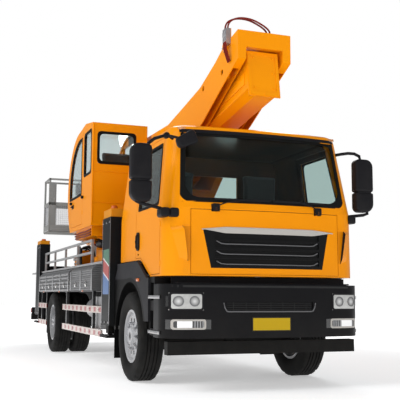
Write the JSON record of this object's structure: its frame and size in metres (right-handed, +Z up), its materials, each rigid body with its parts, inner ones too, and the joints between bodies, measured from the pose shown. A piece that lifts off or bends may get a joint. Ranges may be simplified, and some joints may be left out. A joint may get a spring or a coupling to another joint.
{
  "type": "cherry picker truck",
  "caption": "Lorry with a slewing turret, a mast over the driver's cab, a telescopic boom laid back over the deck, an operator's cabin, outriggers and a work basket.",
  "frame": {"origin": "on the ground, under the middle of the overall length and width", "axes": "+X forward, +Y to the machine's left, +Z up"},
  "size_m": [10.2, 3, 4.0966],
  "materials": {
    "frame_paint": "satin chassis black",
    "amber_paint": "gloss amber",
    "black_plastic": "grained black",
    "grey_plastic": "matt dark grey",
    "aluminium": "milled",
    "basket_paint": "satin grey",
    "guard_tape": "red and white bands",
    "steel": "bright steel",
    "tyre": "road tyre",
    "hose": "ribbed rubber",
    "lamp": "clear lens",
    "glass": "tinted"
  },
  "bodies": {
    "chassis": {"cab_glass": "glass", "cab_interior": "grey_plastic", "cab_mirrors": "black_plastic", "cab_steps": "frame_paint", "deck": "aluminium", "driver_cab": "amber_paint", "engine_and_shaft": "frame_paint", "frame_rails": "frame_paint", "front_axle": "frame_paint", "front_bumper": "black_plastic", "front_lamps": "lamp", "front_underrun": "frame_paint", "fuel_and_air_tanks": "aluminium", "lockers": "aluminium", "mudguards": "black_plastic", "rear_axle": "frame_paint", "rear_underrun": "frame_paint", "side_guards": "guard_tape", "sub_frame": "frame_paint"},
    "turret": {"head_hose_front": "hose", "head_hose_rear": "hose", "operator_cabin": "amber_paint", "operator_cabin_glass": "glass", "operator_seat": "grey_plastic", "slew_table": "amber_paint", "turret_hydraulics": "amber_paint", "turret_mast": "amber_paint"},
    "operator_door": {"operator_door": "amber_paint", "operator_door_glass": "glass"},
    "boom_base": {"boom_base_section": "amber_paint"},
    "boom_section_2": {"boom_section_2": "amber_paint"},
    "boom_section_3": {"boom_section_3": "amber_paint"},
    "boom_section_4": {"boom_section_4": "amber_paint"},
    "basket_bracket": {"basket_bracket": "basket_paint"},
    "basket": {"basket": "basket_paint"},
    "lift_cylinder_barrel": {"lift_cylinder_barrel": "amber_paint"},
    "lift_cylinder_rod": {"lift_cylinder_rod": "steel"},
    "front_flap": {"front_flap": "amber_paint"},
    "driver_door_right": {"driver_door_right": "amber_paint", "driver_door_glass_right": "glass"},
    "knuckle_right": {"steering_knuckle_right": "frame_paint"},
    "front_wheel_right": {"front_wheel_right": "steel", "front_tyre_right": "tyre"},
    "rear_wheels_right": {"rear_wheels_right": "steel", "rear_tyres_right": "tyre"},
    "outrigger_front_right": {"outrigger_front_right": "frame_paint"},
    "jack_leg_front_right": {"jack_leg_front_right": "frame_paint"},
    "outrigger_rear_right": {"outrigger_rear_right": "frame_paint"},
    "jack_leg_rear_right": {"jack_leg_rear_right": "frame_paint"},
    "driver_door_left": {"driver_door_left": "amber_paint", "driver_door_glass_left": "glass"},
    "knuckle_left": {"steering_knuckle_left": "frame_paint"},
    "front_wheel_left": {"front_wheel_left": "steel", "front_tyre_left": "tyre"},
    "rear_wheels_left": {"rear_wheels_left": "steel", "rear_tyres_left": "tyre"},
    "outrigger_front_left": {"outrigger_front_left": "frame_paint"},
    "jack_leg_front_left": {"jack_leg_front_left": "frame_paint"},
    "outrigger_rear_left": {"outrigger_rear_left": "frame_paint"},
    "jack_leg_rear_left": {"jack_leg_rear_left": "frame_paint"}
  },
  "joints": [
    {"name": "slew", "type": "hinge", "parent": "chassis", "child": "turret", "pos_m": [1.15, 0, 1.62], "axis": [0, 0, 1], "range_deg": [-140, 140]},
    {"name": "luff", "type": "hinge", "parent": "turret", "child": "boom_base", "pos_m": [4.6, 0, 3.78], "axis": [0, 1, 0], "range_deg": [0, 80]},
    {"name": "telescope_2", "type": "slide", "parent": "boom_base", "child": "boom_section_2", "axis": [-0.9907, 0, -0.1357], "range_m": [0, 5.6]},
    {"name": "telescope_3", "type": "slide", "parent": "boom_section_2", "child": "boom_section_3", "axis": [-0.9907, 0, -0.1357], "range_m": [0, 5.6]},
    {"name": "telescope_4", "type": "slide", "parent": "boom_section_3", "child": "boom_section_4", "axis": [-0.9907, 0, -0.1357], "range_m": [0, 5.6]},
    {"name": "basket_level", "type": "hinge", "parent": "boom_section_4", "child": "basket_bracket", "pos_m": [-3.88325, 0, 2.19402], "axis": [0, 1, 0], "range_deg": [-80, 0]},
    {"name": "basket_swing", "type": "hinge", "parent": "basket_bracket", "child": "basket", "pos_m": [-4.37, 0, 2.36], "axis": [0, 0, 1], "range_deg": [-75, 75]},
    {"name": "lift_cylinder_foot", "type": "hinge", "parent": "turret", "child": "lift_cylinder_barrel", "pos_m": [0.6, 0, 1.95], "axis": [0, 1, 0], "range_deg": [-35.7, 0]},
    {"name": "lift_cylinder_stroke", "type": "slide", "parent": "lift_cylinder_barrel", "child": "lift_cylinder_rod", "axis": [0.9548, 0, 0.2974], "range_m": [0, 1.225]},
    {"name": "operator_door_hinge", "type": "hinge", "parent": "turret", "child": "operator_door", "pos_m": [1.085, -1.192, 2.035], "axis": [0, 0, 1], "range_deg": [0, 75]},
    {"name": "front_flap_hinge", "type": "hinge", "parent": "chassis", "child": "front_flap", "pos_m": [5.04, 0, 1.87], "axis": [0, -1, 0], "range_deg": [0, 75]},
    {"name": "driver_door_hinge_right", "type": "hinge", "parent": "chassis", "child": "driver_door_right", "pos_m": [4.745, -1.112, 1.18], "axis": [0, 0, 1], "range_deg": [0, 70]},
    {"name": "steer_right", "type": "hinge", "parent": "chassis", "child": "knuckle_right", "pos_m": [3.7, -0.84, 0.51], "axis": [0, 0, 1], "range_deg": [-38, 38]},
    {"name": "front_wheel_spin_right", "type": "hinge", "parent": "knuckle_right", "child": "front_wheel_right", "pos_m": [3.7, -1.018, 0.51], "axis": [0, 1, 0], "continuous": true},
    {"name": "rear_wheel_spin_right", "type": "hinge", "parent": "chassis", "child": "rear_wheels_right", "pos_m": [-1.24, -1.08, 0.51], "axis": [0, 1, 0], "continuous": true},
    {"name": "outrigger_slide_front_right", "type": "slide", "parent": "chassis", "child": "outrigger_front_right", "axis": [0, -1, 0], "range_m": [0, 1]},
    {"name": "jack_stroke_front_right", "type": "slide", "parent": "outrigger_front_right", "child": "jack_leg_front_right", "axis": [0, 0, -1], "range_m": [0, 0.445]},
    {"name": "outrigger_slide_rear_right", "type": "slide", "parent": "chassis", "child": "outrigger_rear_right", "axis": [0, -1, 0], "range_m": [0, 1]},
    {"name": "jack_stroke_rear_right", "type": "slide", "parent": "outrigger_rear_right", "child": "jack_leg_rear_right", "axis": [0, 0, -1], "range_m": [0, 0.445]},
    {"name": "driver_door_hinge_left", "type": "hinge", "parent": "chassis", "child": "driver_door_left", "pos_m": [4.745, 1.112, 1.18], "axis": [0, 0, -1], "range_deg": [0, 70]},
    {"name": "steer_left", "type": "hinge", "parent": "chassis", "child": "knuckle_left", "pos_m": [3.7, 0.84, 0.51], "axis": [0, 0, 1], "range_deg": [-38, 38]},
    {"name": "front_wheel_spin_left", "type": "hinge", "parent": "knuckle_left", "child": "front_wheel_left", "pos_m": [3.7, 1.018, 0.51], "axis": [0, 1, 0], "continuous": true},
    {"name": "rear_wheel_spin_left", "type": "hinge", "parent": "chassis", "child": "rear_wheels_left", "pos_m": [-1.24, 1.08, 0.51], "axis": [0, 1, 0], "continuous": true},
    {"name": "outrigger_slide_front_left", "type": "slide", "parent": "chassis", "child": "outrigger_front_left", "axis": [0, 1, 0], "range_m": [0, 1]},
    {"name": "jack_stroke_front_left", "type": "slide", "parent": "outrigger_front_left", "child": "jack_leg_front_left", "axis": [0, 0, -1], "range_m": [0, 0.445]},
    {"name": "outrigger_slide_rear_left", "type": "slide", "parent": "chassis", "child": "outrigger_rear_left", "axis": [0, 1, 0], "range_m": [0, 1]},
    {"name": "jack_stroke_rear_left", "type": "slide", "parent": "outrigger_rear_left", "child": "jack_leg_rear_left", "axis": [0, 0, -1], "range_m": [0, 0.445]}
  ],
  "couplings": [
    {"joint": "telescope_3", "follows": "telescope_2", "ratio": 1},
    {"joint": "telescope_4", "follows": "telescope_2", "ratio": 1},
    {"joint": "basket_level", "follows": "luff", "ratio": -1},
    {"joint": "lift_cylinder_foot", "follows": "luff", "ratio": -0.44},
    {"joint": "lift_cylinder_stroke", "follows": "luff", "m_per_rad": 0.87},
    {"joint": "steer_right", "follows": "steer_left", "ratio": 1}
  ]
}
